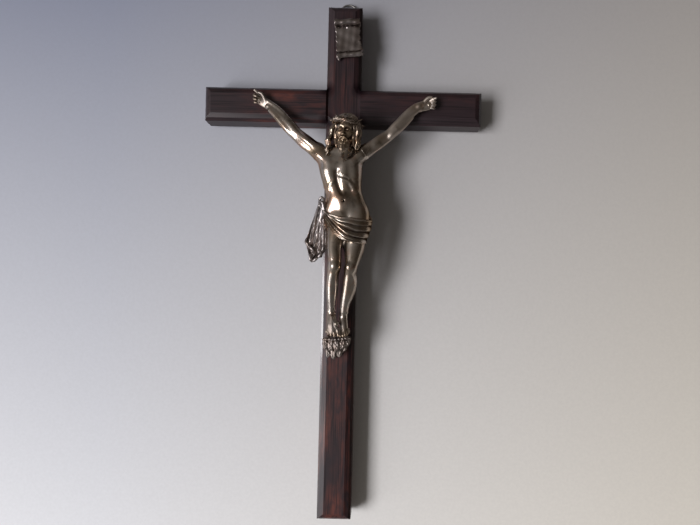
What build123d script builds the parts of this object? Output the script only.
import os
from math import cos, radians, sin, sqrt

from build123d import *

os.makedirs("parts", exist_ok=True)

# Cross: X across, Z up, the front faces -Y, the back lies on Y = 0, the crossing is at X = Z = 0
cross_height = 410.0
crossbar_length = 221.0
bar_width = 27.0
bar_thickness = 18.0
crossing_to_top = 79.6
bevel_inner_width = 3.4
bevel_inner_depth = 1.6
bevel_outer_width = 2.0
bevel_outer_depth = 2.6
router_radius = 1.6

# Figure: head top to toes, all its stations scale with it
figure_height = 169.0
figure_drawn = 169.0
palm_gap = 0.05

# Fasteners; those of the figure scale with it
lap_screw_radius = 1.5
lap_screw_head_radius = 2.9
lap_screw_length = 14.0
lap_screw_sink = 0.3
lap_screw_offset = 6.5
hand_nail_radius = 0.8
hand_nail_head_radius = 2.1
feet_nail_radius = 0.9
feet_nail_head_radius = 2.0
feet_nail_x = 0.2
feet_nail_z = -172.6
feet_nail_reach = 16.9
nail_head_height = 1.3
nail_bedding = 0.3
nail_depth = 10.0
pin_radius = 0.8
pin_head_radius = 1.5
pin_head_height = 0.8
pin_depth = 8.0
shoulder_pin_radius = 0.8
shoulder_pin_length = 9.0
shoulder_pin_behind = 7.2
rest_pin_radius = 1.1
rest_pin_length = 13.0
slot_width = 0.6
slot_depth = 0.5

# Hanger
hanger_x = 1.4
ring_outer_radius = 7.5
ring_wire_radius = 0.75
ring_top = 11.2
ring_lean = 0.2
ring_play = 0.35
strap_gauge = 0.5
knuckle_length = 4.4
strap_length = 13.0
strap_width = 6.4
strap_corner = 1.6
strap_neck = 0.6
hanger_screw_radius = 1.0
hanger_screw_head_radius = 1.7
hanger_screw_head_height = 0.9
hanger_screw_length = 11.0
hanger_screw_pitch = 4.6

# Plaque and foot-rest
plaque_width = 19.0
plaque_flat = 26.0
plaque_gauge = 1.0
plaque_roll_radius = 2.3
plaque_x = 3.0
plaque_z = 51.6
plaque_turn = 4.0
plaque_pin_inset = 3.2
plaque_roll_stop = -50.0
rest_depth = 15.0
rest_toe_depth = 3.6

# Sizes that follow
front_y = -bar_thickness
half_bar = bar_width / 2
top_z = crossing_to_top
bottom_z = crossing_to_top - cross_height
end_x = crossbar_length / 2
lap_depth = bar_thickness / 2
bevel_width = bevel_inner_width + bevel_outer_width
bevel_depth = bevel_inner_depth + bevel_outer_depth
fs = figure_height / figure_drawn
front_plane = Plane.XZ.offset(bar_thickness)
past = 2.0


def dome_radius(radius, height):
    return (radius**2 + height**2) / (2 * height)


nail_cap = nail_head_height * fs
hand_shank = hand_nail_radius * fs
hand_head = hand_nail_head_radius * fs
hand_dome = dome_radius(hand_head, nail_cap)
feet_shank = feet_nail_radius * fs
feet_head = feet_nail_head_radius * fs
feet_dome = dome_radius(feet_head, nail_cap)
pin_dome = dome_radius(pin_head_radius, pin_head_height)
screw_dome = dome_radius(hanger_screw_head_radius, hanger_screw_head_height)


# Even stations along a limb, on a smooth curve through the drawn ones
def even_stations(drawn, spacing):
    at = [0.0]
    for one, two in zip(drawn, drawn[1:]):
        at.append(at[-1] + sqrt(sum((b - a) ** 2 for a, b in zip(one[:3], two[:3]))))
    slopes = []
    for number in range(len(drawn)):
        low = max(number - 1, 0)
        high = min(number + 1, len(drawn) - 1)
        slopes.append([(b - a) / (at[high] - at[low]) for a, b in zip(drawn[low], drawn[high])])
    count = max(round(at[-1] / spacing), len(drawn))
    result = []
    for step in range(count + 1):
        reach = at[-1] * step / count
        number = 0
        while number < len(drawn) - 2 and at[number + 1] < reach:
            number += 1
        gap = at[number + 1] - at[number]
        t = (reach - at[number]) / gap
        blend = (2 * t**3 - 3 * t**2 + 1, (t**3 - 2 * t**2 + t) * gap, 3 * t**2 - 2 * t**3, (t**3 - t**2) * gap)
        ends = zip(drawn[number], slopes[number], drawn[number + 1], slopes[number + 1])
        result.append(tuple(sum(w * v for w, v in zip(blend, four)) for four in ends))
    return result


# Cross blank with its routed double bevel, cut later into the two bars
with BuildPart() as cross_blank:
    with BuildSketch(Plane.XZ):
        with Locations((0, (top_z + bottom_z) / 2)):
            Rectangle(bar_width, cross_height)
        Rectangle(crossbar_length, bar_width)
    extrude(amount=bar_thickness)
    stop = half_bar + router_radius
    bevel_runs = []
    for side in (-1, 1):
        arm_mid = side * (end_x + past + stop) / 2
        arm_half = (end_x + past - stop) / 2
        for face in (-1, 1):
            bevel_runs.append(((arm_mid, face * half_bar), (0, -face), arm_half))
        upper_half = (top_z + past - stop) / 2
        lower_half = (-bottom_z + past - stop) / 2
        bevel_runs.append(((side * half_bar, (top_z + past + stop) / 2), (-side, 0), upper_half))
        bevel_runs.append(((side * half_bar, (bottom_z - past - stop) / 2), (-side, 0), lower_half))
        bevel_runs.append(((side * end_x, 0), (-side, 0), half_bar + past))
    bevel_runs.append(((0, top_z), (0, -1), half_bar + past))
    bevel_runs.append(((0, bottom_z), (0, 1), half_bar + past))
    for (mid_x, mid_z), (in_x, in_z), run_half in bevel_runs:
        run_plane = Plane(origin=(mid_x, front_y, mid_z), x_dir=(in_x, 0, in_z), z_dir=(-in_z, 0, in_x))
        with BuildSketch(run_plane):
            with BuildLine():
                Polyline(
                    (bevel_width, -1),
                    (bevel_width, 0),
                    (bevel_outer_width, bevel_inner_depth),
                    (0, bevel_depth),
                    (-past, bevel_depth),
                    (-past, -1),
                    close=True,
                )
            make_face()
        extrude(amount=run_half, both=True, mode=Mode.SUBTRACT)
    # the router bit turns in each inner corner
    for side in (-1, 1):
        for face in (-1, 1):
            with BuildSketch(Plane(origin=(side * stop, front_y, face * stop))):
                with BuildLine():
                    Polyline(
                        (0, -1),
                        (router_radius + bevel_width, -1),
                        (router_radius + bevel_width, 0),
                        (router_radius + bevel_outer_width, bevel_inner_depth),
                        (router_radius, bevel_depth),
                        (0, bevel_depth),
                        close=True,
                    )
                make_face()
            revolve(axis=Axis((side * stop, 0, face * stop), (0, 1, 0)), mode=Mode.SUBTRACT)

# Arm stations: x, z, distance in front of the bar, radius in the picture plane, radius in depth
right_arm_stations = [
    (-13.5, -44.4, 14.2, 6.0, 5.2),
    (-20.5, -39.1, 13.2, 5.1, 4.8),
    (-28.0, -33.5, 11.6, 4.4, 4.2),
    (-36.0, -27.2, 9.8, 3.8, 3.7),
    (-43.4, -20.0, 8.4, 3.9, 3.7),
    (-51.0, -11.8, 6.4, 3.1, 2.9),
    (-57.4, -4.8, 4.5, 2.3, 2.0),
    (-61.6, -1.2, 3.0, 2.8, 1.8),
    (-65.4, 1.8, 1.9, 3.7, 1.8),
    (-67.8, 4.6, 2.0, 3.2, 1.6),
]
left_arm_stations = [
    (14.9, -44.0, 14.2, 6.0, 5.2),
    (22.2, -38.1, 13.2, 5.1, 4.8),
    (29.6, -32.2, 11.6, 4.4, 4.2),
    (37.6, -25.5, 9.8, 3.8, 3.7),
    (45.2, -18.0, 8.4, 3.9, 3.7),
    (53.2, -9.6, 6.4, 3.1, 2.9),
    (60.2, -3.0, 4.5, 2.3, 2.0),
    (64.2, -0.9, 3.0, 2.8, 1.8),
    (68.1, 0.5, 1.9, 3.7, 1.8),
    (71.2, 2.0, 2.0, 3.2, 1.6),
]
# Finger stations: base x, z, tip x, z, tip distance in front of the bar
right_fingers = [
    (-66.8, 5.4, -69.4, 8.9, 3.6),
    (-68.6, 4.0, -69.2, 4.2, 6.0),
    (-69.0, 2.2, -68.9, 1.8, 6.2),
    (-68.2, 0.6, -67.4, -0.2, 5.6),
    (-62.4, 3.6, -65.6, 6.0, 5.0),
]
left_fingers = [
    (70.6, 3.6, 73.6, 5.2, 3.6),
    (71.8, 2.2, 72.4, 2.0, 6.0),
    (71.6, 0.4, 71.6, -0.2, 6.2),
    (70.4, -1.0, 69.6, -1.8, 5.6),
    (65.2, 2.6, 68.6, 4.4, 5.0),
]
finger_seat = 2.0
hand_clearing = 36.0
finger_base_radius = 1.05
finger_tip_radius = 0.75
tenon_radius = 2.3
tenon_length = 5.5
tenon_pin_at = 3.4
limb_spacing = 4.0

# Nails through the palms
with BuildPart() as hand_nails:
    for stations in (right_arm_stations, left_arm_stations):
        nail_x, nail_z, nail_d, _, nail_half = stations[-2]
        head_y = front_y - (nail_d + nail_half - nail_bedding) * fs
        nail_plane = Plane(origin=(nail_x * fs, 0, nail_z * fs))
        with BuildSketch(nail_plane):
            with BuildLine():
                Line((0, head_y - nail_cap), (0, front_y + nail_depth))
                Line((0, front_y + nail_depth), (hand_shank, front_y + nail_depth - past))
                Line((hand_shank, front_y + nail_depth - past), (hand_shank, head_y))
                Line((hand_shank, head_y), (hand_head, head_y))
                RadiusArc((hand_head, head_y), (0, head_y - nail_cap), hand_dome)
            make_face()
        revolve(axis=Axis(nail_plane.origin, (0, 1, 0)))
    hand_nails.part.label = "hand_nails"
export_step(hand_nails.part, "parts/hand_nails.step")

# Long nail through the feet
feet_head_y = front_y - feet_nail_reach * fs
feet_at = (feet_nail_x * fs, 0, feet_nail_z * fs)
with BuildPart() as feet_nail:
    with BuildSketch(Plane(origin=feet_at)):
        with BuildLine():
            Line((0, feet_head_y - nail_cap), (0, front_y + nail_depth))
            Line((0, front_y + nail_depth), (feet_shank, front_y + nail_depth - past))
            Line((feet_shank, front_y + nail_depth - past), (feet_shank, feet_head_y))
            Line((feet_shank, feet_head_y), (feet_head, feet_head_y))
            RadiusArc((feet_head, feet_head_y), (0, feet_head_y - nail_cap), feet_dome)
        make_face()
    revolve(axis=Axis(feet_at, (0, 1, 0)))
    feet_nail.part.label = "feet_nail"
export_step(feet_nail.part, "parts/feet_nail.step")

# Rivets that lock the arm tenons
with BuildPart() as shoulder_pins:
    for stations in (right_arm_stations, left_arm_stations):
        root_x, root_z, root_d, _, _ = stations[0]
        next_x, next_z, _, _, _ = stations[1]
        reach = sqrt((next_x - root_x) ** 2 + (next_z - root_z) ** 2)
        rivet_x = (root_x - (next_x - root_x) / reach * tenon_pin_at) * fs
        rivet_z = (root_z - (next_z - root_z) / reach * tenon_pin_at) * fs
        rivet_plane = Plane(origin=(rivet_x, front_y - (root_d - shoulder_pin_behind) * fs, rivet_z), z_dir=(0, -1, 0))
        with BuildSketch(rivet_plane):
            Circle(shoulder_pin_radius * fs)
        extrude(amount=shoulder_pin_length * fs)
    shoulder_pins.part.label = "shoulder_pins"
export_step(shoulder_pins.part, "parts/shoulder_pins.step")

# Bracket under the feet, with a leafy lower edge
rest_outline = [
    (-10.8, -183.6),
    (-4.0, -182.6),
    (4.0, -182.4),
    (10.6, -181.6),
    (10.6, -184.6),
    (8.8, -190.6),
    (7.4, -194.4),
    (5.9, -192.6),
    (4.7, -197.2),
    (3.2, -194.8),
    (1.7, -199.4),
    (-0.4, -196.2),
    (-2.7, -200.4),
    (-4.6, -196.8),
    (-6.8, -200.0),
    (-7.8, -195.4),
    (-9.6, -190.4),
]
rest_pins_at = [(-4.6, -188.4), (4.6, -187.6)]
rest_slope_top = -186.0
rest_slope_foot = -200.6
rest_grooves = [(-5.6, -4.6), (-0.6, -0.4), (4.2, 3.2)]
groove_radius = 1.3
groove_top_z = -185.0
groove_foot_z = -199.4
groove_lift = 0.5
with BuildPart() as foot_rest_pins:
    for pin_x, pin_z in rest_pins_at:
        with BuildSketch(Plane(origin=(pin_x * fs, front_y + pin_depth, pin_z * fs), z_dir=(0, -1, 0))):
            Circle(rest_pin_radius)
        extrude(amount=rest_pin_length)
    foot_rest_pins.part.label = "foot_rest_pins"
export_step(foot_rest_pins.part, "parts/foot_rest_pins.step")

with BuildPart() as foot_rest:
    with BuildSketch(front_plane):
        with BuildLine():
            Polyline(*[(x * fs, z * fs) for x, z in rest_outline], close=True)
        make_face()
    extrude(amount=rest_depth * fs)
    # the front slopes back to the wood
    with BuildSketch(Plane(origin=(0, front_y, 0), x_dir=(0, -1, 0), z_dir=(-1, 0, 0))):
        with BuildLine():
            Polyline(
                (rest_depth * fs, rest_slope_top * fs),
                (rest_toe_depth * fs, rest_slope_foot * fs),
                ((rest_depth + past) * fs, (rest_slope_foot - past) * fs),
                ((rest_depth + past) * fs, (rest_slope_top + past) * fs),
                close=True,
            )
        make_face()
    extrude(amount=bar_width, both=True, mode=Mode.SUBTRACT)
    # carved grooves between the leaves
    for groove_x, foot_x in rest_grooves:
        groove_top = Vector(groove_x * fs, front_y - (rest_depth + groove_lift) * fs, groove_top_z * fs)
        groove_foot = Vector(foot_x * fs, front_y - (rest_toe_depth + groove_lift) * fs, groove_foot_z * fs)
        with BuildSketch(Plane(origin=groove_foot, z_dir=groove_top - groove_foot)):
            Circle(groove_radius * fs)
        extrude(amount=(groove_top - groove_foot).length, mode=Mode.SUBTRACT)
    add(foot_rest_pins.part, mode=Mode.SUBTRACT)
    foot_rest.part.label = "foot_rest"
export_step(foot_rest.part, "parts/foot_rest.step")

# Arm on the viewer's left
with BuildPart() as right_arm:
    even = even_stations(right_arm_stations, limb_spacing)
    for number, (x, z, d, in_plane, in_depth) in enumerate(even):
        before = even[max(number - 1, 0)]
        after = even[min(number + 1, len(even) - 1)]
        along = (after[0] - before[0], 0, after[1] - before[1])
        with BuildSketch(Plane(origin=(x * fs, front_y - d * fs, z * fs), x_dir=(0, 1, 0), z_dir=along)):
            Ellipse(in_depth * fs, in_plane * fs)
    loft()
    for base_x, base_z, tip_x, tip_z, tip_d in right_fingers:
        base = Vector(base_x * fs, front_y - finger_seat * fs, base_z * fs)
        tip = Vector(tip_x * fs, front_y - tip_d * fs, tip_z * fs)
        root = base - (tip - base) * 0.5
        with BuildSketch(Plane(origin=(root.X, front_y - finger_seat * fs, root.Z), z_dir=tip - base)):
            Circle(finger_base_radius * fs)
        with BuildSketch(Plane(origin=base + (tip - base) * 0.4, z_dir=tip - base)):
            Circle(finger_base_radius * fs)
        with BuildSketch(Plane(origin=tip, z_dir=tip - base)):
            Circle(finger_tip_radius * fs)
        loft()
    # tenon for the shoulder socket
    root_x, root_z, root_d, _, _ = right_arm_stations[0]
    next_x, next_z, _, _, _ = right_arm_stations[1]
    back = (root_x - next_x, 0, root_z - next_z)
    with BuildSketch(Plane(origin=(root_x * fs, front_y - root_d * fs, root_z * fs), z_dir=back)):
        Circle(tenon_radius * fs)
    extrude(amount=tenon_length * fs)
    # nothing reaches into the wood
    palm_x, palm_z, _, _, _ = right_arm_stations[-2]
    with Locations((palm_x * fs, front_y + bar_thickness / 2 - palm_gap, palm_z * fs)):
        Box(hand_clearing * fs, bar_thickness, hand_clearing * fs, mode=Mode.SUBTRACT)
    add(hand_nails.part, mode=Mode.SUBTRACT)
    add(shoulder_pins.part, mode=Mode.SUBTRACT)
    right_arm.part.label = "right_arm"
export_step(right_arm.part, "parts/right_arm.step")

# Arm on the viewer's right
with BuildPart() as left_arm:
    even = even_stations(left_arm_stations, limb_spacing)
    for number, (x, z, d, in_plane, in_depth) in enumerate(even):
        before = even[max(number - 1, 0)]
        after = even[min(number + 1, len(even) - 1)]
        along = (after[0] - before[0], 0, after[1] - before[1])
        with BuildSketch(Plane(origin=(x * fs, front_y - d * fs, z * fs), x_dir=(0, 1, 0), z_dir=along)):
            Ellipse(in_depth * fs, in_plane * fs)
    loft()
    for base_x, base_z, tip_x, tip_z, tip_d in left_fingers:
        base = Vector(base_x * fs, front_y - finger_seat * fs, base_z * fs)
        tip = Vector(tip_x * fs, front_y - tip_d * fs, tip_z * fs)
        root = base - (tip - base) * 0.5
        with BuildSketch(Plane(origin=(root.X, front_y - finger_seat * fs, root.Z), z_dir=tip - base)):
            Circle(finger_base_radius * fs)
        with BuildSketch(Plane(origin=base + (tip - base) * 0.4, z_dir=tip - base)):
            Circle(finger_base_radius * fs)
        with BuildSketch(Plane(origin=tip, z_dir=tip - base)):
            Circle(finger_tip_radius * fs)
        loft()
    # tenon for the shoulder socket
    root_x, root_z, root_d, _, _ = left_arm_stations[0]
    next_x, next_z, _, _, _ = left_arm_stations[1]
    back = (root_x - next_x, 0, root_z - next_z)
    with BuildSketch(Plane(origin=(root_x * fs, front_y - root_d * fs, root_z * fs), z_dir=back)):
        Circle(tenon_radius * fs)
    extrude(amount=tenon_length * fs)
    # nothing reaches into the wood
    palm_x, palm_z, _, _, _ = left_arm_stations[-2]
    with Locations((palm_x * fs, front_y + bar_thickness / 2 - palm_gap, palm_z * fs)):
        Box(hand_clearing * fs, bar_thickness, hand_clearing * fs, mode=Mode.SUBTRACT)
    add(hand_nails.part, mode=Mode.SUBTRACT)
    add(shoulder_pins.part, mode=Mode.SUBTRACT)
    left_arm.part.label = "left_arm"
export_step(left_arm.part, "parts/left_arm.step")

# Body stations: z, x, distance in front of the bar, radius across, radius in depth
torso_stations = [
    (-40.2, 3.0, 15.8, 5.4, 4.8),
    (-43.6, 1.6, 14.8, 12.6, 7.0),
    (-48.0, 0.3, 14.2, 15.4, 8.8),
    (-54.0, -0.3, 14.0, 15.9, 9.8),
    (-63.0, 0.7, 14.0, 14.2, 9.2),
    (-73.0, 2.0, 13.6, 12.4, 8.0),
    (-81.0, 4.2, 13.6, 13.4, 8.6),
    (-90.0, 6.9, 13.6, 15.4, 9.6),
    (-99.0, 7.8, 13.8, 15.8, 9.8),
    (-106.0, 7.6, 14.4, 14.2, 8.8),
]
head_stations = [
    (-45.0, 2.4, 15.0, 5.2, 5.0),
    (-40.6, 4.4, 18.2, 4.8, 6.0),
    (-37.0, 5.0, 20.4, 6.6, 7.6),
    (-31.0, 4.8, 20.6, 9.0, 9.2),
    (-25.0, 4.8, 20.2, 10.5, 10.2),
    (-19.6, 5.0, 19.8, 9.8, 9.8),
    (-15.6, 5.2, 19.6, 6.8, 7.0),
    (-13.2, 5.3, 19.6, 2.6, 2.8),
]
near_leg_stations = [
    (-96.0, 1.0, 14.2, 7.4, 8.0),
    (-112.0, -0.6, 17.4, 6.0, 7.0),
    (-124.0, -1.4, 19.4, 4.7, 5.6),
    (-129.0, -1.9, 19.6, 4.4, 5.0),
    (-136.0, -2.6, 18.2, 4.0, 4.6),
    (-146.0, -3.2, 16.0, 3.8, 4.8),
    (-156.0, -3.3, 13.6, 2.8, 3.6),
    (-163.0, -3.2, 12.6, 2.1, 2.8),
    (-168.0, -2.7, 13.2, 2.6, 3.3),
    (-174.0, -1.8, 14.8, 3.8, 3.0),
    (-183.0, -1.4, 17.2, 4.5, 1.9),
]
far_leg_stations = [
    (-96.0, 14.2, 14.2, 7.8, 8.0),
    (-114.0, 13.4, 17.4, 6.1, 7.0),
    (-126.0, 11.0, 19.4, 5.1, 5.8),
    (-131.0, 10.2, 19.4, 4.9, 5.2),
    (-141.0, 9.7, 17.0, 5.2, 5.2),
    (-152.0, 7.5, 13.6, 4.5, 4.4),
    (-163.0, 5.7, 10.6, 2.6, 3.0),
    (-169.0, 5.4, 10.0, 3.2, 3.4),
    (-175.0, 5.0, 11.0, 4.9, 3.0),
    (-181.6, 5.4, 12.4, 4.9, 1.9),
]
wrap_stations = [
    (-86.5, 5.6, 13.6, 14.6, 9.4),
    (-91.0, 7.4, 13.8, 17.0, 10.8),
    (-97.0, 8.2, 14.2, 17.4, 11.4),
    (-104.0, 8.0, 15.0, 16.0, 11.0),
    (-110.5, 8.6, 16.2, 13.8, 9.6),
]
# Swags of the cloth: three points each as x, z, distance in front, and a radius
swags = [
    ((-9.5, -84.5, 18.5), (4.0, -92.5, 25.2), (22.5, -93.6, 18.5), 1.5),
    ((-9.5, -88.0, 19.5), (5.0, -98.4, 26.0), (23.6, -99.4, 18.5), 1.6),
    ((-9.5, -91.0, 20.0), (5.5, -104.6, 26.2), (21.0, -107.6, 20.5), 1.6),
]
# Lock of hair on the shoulder: z, x, distance in front of the bar, radius
lock_stations = [
    (-24.0, -4.0, 20.0, 2.6),
    (-31.0, -6.2, 20.2, 2.7),
    (-38.0, -6.4, 20.0, 2.4),
    (-44.4, -7.4, 20.4, 1.6),
]
peg_radius = 1.3
peg_length = 8.0
peg_slope = -0.25
knot_x = -13.4
knot_d = 15.0
knot_z = -81.4
knot_at = Vector(knot_x * fs, front_y - knot_d * fs, knot_z * fs)

with BuildPart() as tail_peg:
    with BuildSketch(Plane(origin=knot_at, z_dir=(1, 0, peg_slope))):
        Circle(peg_radius * fs)
    extrude(amount=peg_length * fs)

# Figure: torso, head, wrapped cloth, legs and feet in one casting
with BuildPart() as corpus_body:
    for stations in (torso_stations, head_stations, near_leg_stations, far_leg_stations, wrap_stations):
        for z, x, d, across, in_depth in even_stations(stations, limb_spacing):
            with BuildSketch(Plane(origin=(x * fs, front_y - d * fs, z * fs))):
                Ellipse(across * fs, in_depth * fs)
        loft()
    for z, x, d, lock_radius in even_stations(lock_stations, limb_spacing):
        with BuildSketch(Plane(origin=(x * fs, front_y - d * fs, z * fs))):
            Circle(lock_radius * fs)
    loft()
    for start, middle, finish, swag_radius in swags:
        swag_points = [(x * fs, front_y - d * fs, z * fs) for x, z, d in (start, middle, finish)]
        with BuildLine() as swag_path:
            Spline(*swag_points)
        with BuildSketch(Plane(origin=swag_path.line @ 0, z_dir=swag_path.line % 0)):
            Circle(swag_radius * fs)
        sweep()
    # seats for the arms
    for arm_part in (right_arm.part, left_arm.part):
        add(arm_part, mode=Mode.SUBTRACT)
    add(shoulder_pins.part, mode=Mode.SUBTRACT)
    add(feet_nail.part, mode=Mode.SUBTRACT)
    add(tail_peg.part, mode=Mode.SUBTRACT)
    add(foot_rest.part, mode=Mode.SUBTRACT)
    corpus_body.part.label = "corpus_body"
export_step(corpus_body.part, "parts/corpus_body.step")

# Knot and hanging end of the cloth
tail_lobes = [
    ((-23.2, -112.4, 13.0), 2.5),
    ((-21.0, -120.6, 12.4), 2.9),
    ((-16.6, -121.6, 11.8), 2.9),
    ((-12.2, -117.2, 11.4), 2.6),
    ((-11.0, -110.0, 11.0), 2.4),
]
knot_radius = 3.4
tail_root_radius = 1.8
tail_middle_share = 0.85
with BuildPart() as loincloth_tail:
    with Locations(knot_at):
        Sphere(knot_radius * fs)
    for (x, z, d), lobe_radius in tail_lobes:
        hem = Vector(x * fs, front_y - d * fs, z * fs)
        with BuildSketch(Plane(origin=knot_at, z_dir=hem - knot_at)):
            Circle(tail_root_radius * fs)
        with BuildSketch(Plane(origin=knot_at + (hem - knot_at) * 0.5, z_dir=hem - knot_at)):
            Circle(lobe_radius * tail_middle_share * fs)
        with BuildSketch(Plane(origin=hem, z_dir=hem - knot_at)):
            Circle(lobe_radius * fs)
        loft()
    add(tail_peg.part)
    add(corpus_body.part, mode=Mode.SUBTRACT)
    loincloth_tail.part.label = "loincloth_tail"
export_step(loincloth_tail.part, "parts/loincloth_tail.step")

# Crown pressed over the hair
crown_at = (5.0, 19.8, -20.4)
crown_nod = 6.0
crown_lean = 4.0
crown_radius = 10.2
crown_wire = 1.6
thorn_count = 13
thorn_length = 2.4
thorn_root_radius = 0.6
thorn_tip_radius = 0.12
thorn_bite = 0.4
crown_x, crown_d, crown_z = crown_at
crown_origin = (crown_x * fs, front_y - crown_d * fs, crown_z * fs)
crown_plane = Plane(origin=crown_origin).rotated((crown_nod, crown_lean, 0))
with BuildPart() as crown_of_thorns:
    with Locations(crown_plane):
        Torus(crown_radius * fs, crown_wire * fs)
        with PolarLocations((crown_radius + crown_wire + thorn_length / 2 - thorn_bite) * fs, thorn_count):
            Cone(thorn_root_radius * fs, thorn_tip_radius * fs, thorn_length * fs, rotation=(0, 90, 0))
    add(corpus_body.part, mode=Mode.SUBTRACT)
    crown_of_thorns.part.label = "crown_of_thorns"
export_step(crown_of_thorns.part, "parts/crown_of_thorns.step")

# Scroll plaque, rolled forward at both ends
plaque_seat = plaque_gauge / 2 + palm_gap
plaque_pin_z = plaque_flat / 2 - plaque_pin_inset
pin_turn = radians(plaque_turn)
plaque_across = (-cos(pin_turn), 0, -sin(pin_turn))
plaque_plane = Plane(origin=(plaque_x, front_y, plaque_z), x_dir=(0, -1, 0), z_dir=plaque_across)
with BuildPart() as plaque_pins:
    for side in (-1, 1):
        pin_x = plaque_x - side * plaque_pin_z * sin(pin_turn)
        pin_z = plaque_z + side * plaque_pin_z * cos(pin_turn)
        head_y = front_y - palm_gap - plaque_gauge
        with BuildSketch(Plane(origin=(pin_x, 0, pin_z))):
            with BuildLine():
                Line((0, head_y - pin_head_height), (0, front_y + pin_depth))
                Line((0, front_y + pin_depth), (pin_radius, front_y + pin_depth - past))
                Line((pin_radius, front_y + pin_depth - past), (pin_radius, head_y))
                Line((pin_radius, head_y), (pin_head_radius, head_y))
                RadiusArc((pin_head_radius, head_y), (0, head_y - pin_head_height), pin_dome)
            make_face()
        revolve(axis=Axis((pin_x, 0, pin_z), (0, 1, 0)))
    plaque_pins.part.label = "plaque_pins"
export_step(plaque_pins.part, "parts/plaque_pins.step")

with BuildPart() as title_plaque:
    with BuildSketch(plaque_plane):
        with BuildLine():
            roll = plaque_roll_radius
            flat_end = plaque_flat / 2
            roll_end = radians(plaque_roll_stop)
            Line((plaque_seat, -flat_end), (plaque_seat, flat_end))
            ThreePointArc(
                (plaque_seat, flat_end),
                (plaque_seat + roll, flat_end + roll),
                (plaque_seat + roll + roll * cos(roll_end), flat_end + roll * sin(roll_end)),
            )
            ThreePointArc(
                (plaque_seat, -flat_end),
                (plaque_seat + roll, -flat_end - roll),
                (plaque_seat + roll + roll * cos(roll_end), -flat_end - roll * sin(roll_end)),
            )
        trace(line_width=plaque_gauge)
    extrude(amount=plaque_width / 2, both=True)
    add(plaque_pins.part, mode=Mode.SUBTRACT)
    title_plaque.part.label = "title_plaque"
export_step(title_plaque.part, "parts/title_plaque.step")

# Screws from the back through the half lap, on a diagonal
lap_screws_at = ((-lap_screw_offset, lap_screw_offset), (lap_screw_offset, -lap_screw_offset))
with BuildPart() as lap_screws:
    for screw_x, screw_z in lap_screws_at:
        with BuildSketch(Plane(origin=(screw_x, 0, screw_z))):
            with BuildLine():
                Polyline(
                    (0, -lap_screw_sink),
                    (lap_screw_head_radius, -lap_screw_sink),
                    (lap_screw_radius, -lap_screw_sink - lap_screw_head_radius + lap_screw_radius),
                    (lap_screw_radius, -lap_screw_length + past),
                    (0, -lap_screw_length),
                    close=True,
                )
            make_face()
        revolve(axis=Axis((screw_x, 0, screw_z), (0, 1, 0)))
        with Locations((screw_x, -lap_screw_sink, screw_z)):
            Box(slot_width, slot_depth * 2, lap_screw_head_radius * 2 + past, mode=Mode.SUBTRACT)
    lap_screws.part.label = "lap_screws"
export_step(lap_screws.part, "parts/lap_screws.step")

# Hanger: the ring's lowest wire lies in the strap's knuckle
ring_mean_radius = ring_outer_radius - ring_wire_radius
ring_sag = ring_mean_radius - sqrt(ring_mean_radius**2 - (knuckle_length / 2) ** 2)
knuckle_bore = ring_wire_radius + sqrt((ring_sag / 2) ** 2 + ring_lean**2) + ring_play
knuckle_radius = knuckle_bore + strap_gauge
hinge_y = knuckle_radius
ring_z = top_z + ring_top - ring_outer_radius
hinge_z = ring_z - ring_mean_radius + ring_sag / 2
ring_y = hinge_y - ring_lean
strap_plate = strap_gauge * 2
strap_foot_z = hinge_z - strap_length
screw_rows = (hinge_z - hanger_screw_pitch, hinge_z - 2 * hanger_screw_pitch)

with BuildPart() as hanging_ring:
    with Locations(Plane(origin=(hanger_x, ring_y, ring_z), z_dir=(0, 1, 0))):
        Torus(ring_mean_radius, ring_wire_radius)
    hanging_ring.part.label = "hanging_ring"
export_step(hanging_ring.part, "parts/hanging_ring.step")

with BuildPart() as hanger_screws:
    for screw_z in screw_rows:
        with BuildSketch(Plane(origin=(hanger_x, 0, screw_z))):
            with BuildLine():
                Line((0, strap_plate + hanger_screw_head_height), (0, strap_plate - hanger_screw_length))
                Line(
                    (0, strap_plate - hanger_screw_length),
                    (hanger_screw_radius, strap_plate - hanger_screw_length + past),
                )
                Line(
                    (hanger_screw_radius, strap_plate - hanger_screw_length + past),
                    (hanger_screw_radius, strap_plate),
                )
                Line((hanger_screw_radius, strap_plate), (hanger_screw_head_radius, strap_plate))
                RadiusArc(
                    (hanger_screw_head_radius, strap_plate),
                    (0, strap_plate + hanger_screw_head_height),
                    -screw_dome,
                )
            make_face()
        revolve(axis=Axis((hanger_x, 0, screw_z), (0, 1, 0)))
        with Locations((hanger_x, strap_plate + hanger_screw_head_height, screw_z)):
            Box(hanger_screw_head_radius * 3, slot_depth * 2, slot_width, mode=Mode.SUBTRACT)
    hanger_screws.part.label = "hanger_screws"
export_step(hanger_screws.part, "parts/hanger_screws.step")

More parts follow.
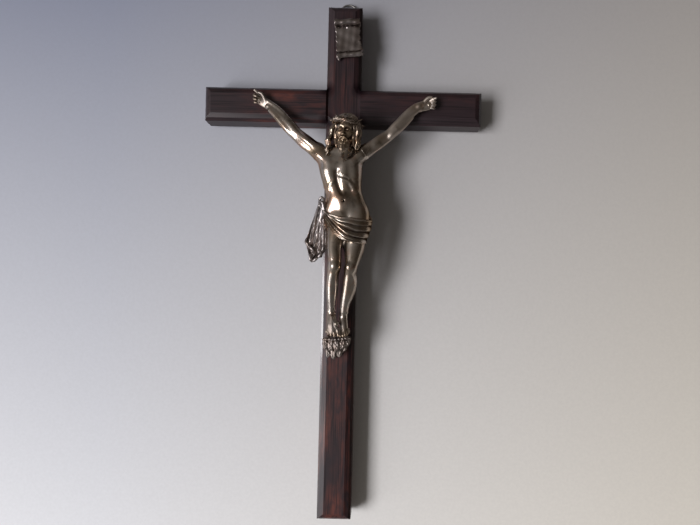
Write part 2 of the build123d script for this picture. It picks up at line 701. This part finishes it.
with BuildPart() as hanger_strap:
    # the folded plate, rounded at its foot
    with BuildSketch(Plane(origin=(hanger_x, 0, 0), x_dir=(1, 0, 0), z_dir=(0, 1, 0))):
        plate_top = -(hinge_z - knuckle_radius * strap_neck)
        plate_foot = -strap_foot_z
        with Locations((0, (plate_top + plate_foot) / 2)):
            RectangleRounded(strap_width, plate_foot - plate_top, strap_corner)
        neck_length = knuckle_radius * strap_neck + past
        with Locations((0, plate_top + past - neck_length / 2)):
            Rectangle(knuckle_length, neck_length)
    extrude(amount=strap_plate)
    # the knuckle
    with BuildSketch(Plane(origin=(hanger_x, 0, 0), x_dir=(0, 1, 0), z_dir=(1, 0, 0))):
        with Locations((hinge_y, hinge_z)):
            Circle(knuckle_radius)
    extrude(amount=knuckle_length / 2, both=True)
    with BuildSketch(Plane(origin=(hanger_x, 0, 0), x_dir=(0, 1, 0), z_dir=(1, 0, 0))):
        with Locations((hinge_y, hinge_z)):
            Circle(knuckle_bore)
    extrude(amount=strap_width, both=True, mode=Mode.SUBTRACT)
    add(hanger_screws.part, mode=Mode.SUBTRACT)
    hanger_strap.part.label = "hanger_strap"
export_step(hanger_strap.part, "parts/hanger_strap.step")

# Upright: whole at the front of the lap, notched at its back
with BuildPart() as upright:
    add(cross_blank.part)
    with Locations((0, -bar_thickness / 2, (top_z + bottom_z) / 2)):
        Box(bar_width, bar_thickness + past, cross_height + past, mode=Mode.INTERSECT)
    with Locations((0, -lap_depth / 2, 0)):
        Box(bar_width, lap_depth, bar_width, mode=Mode.SUBTRACT)
    for fastener in (lap_screws, feet_nail, foot_rest_pins, plaque_pins, hanger_screws):
        add(fastener.part, mode=Mode.SUBTRACT)
    upright.part.label = "upright"
export_step(upright.part, "parts/upright.step")

# Crossbar: whole at the back of the lap, notched at its front
with BuildPart() as crossbar:
    add(cross_blank.part)
    with Locations((0, -bar_thickness / 2, 0)):
        Box(crossbar_length + past, bar_thickness + past, bar_width, mode=Mode.INTERSECT)
    with Locations((0, -lap_depth - (bar_thickness - lap_depth) / 2, 0)):
        Box(bar_width, bar_thickness - lap_depth, bar_width, mode=Mode.SUBTRACT)
    # countersinks for the screws
    for screw_x, screw_z in lap_screws_at:
        with BuildSketch(Plane(origin=(screw_x, 0, screw_z))):
            with BuildLine():
                Polyline(
                    (0, past),
                    (lap_screw_head_radius, past),
                    (lap_screw_head_radius, -lap_screw_sink),
                    (lap_screw_radius, -lap_screw_sink - lap_screw_head_radius + lap_screw_radius),
                    (lap_screw_radius, -lap_depth - past),
                    (0, -lap_depth - past),
                    close=True,
                )
            make_face()
        revolve(axis=Axis((screw_x, 0, screw_z), (0, 1, 0)), mode=Mode.SUBTRACT)
    add(hand_nails.part, mode=Mode.SUBTRACT)
    crossbar.part.label = "crossbar"
export_step(crossbar.part, "parts/crossbar.step")
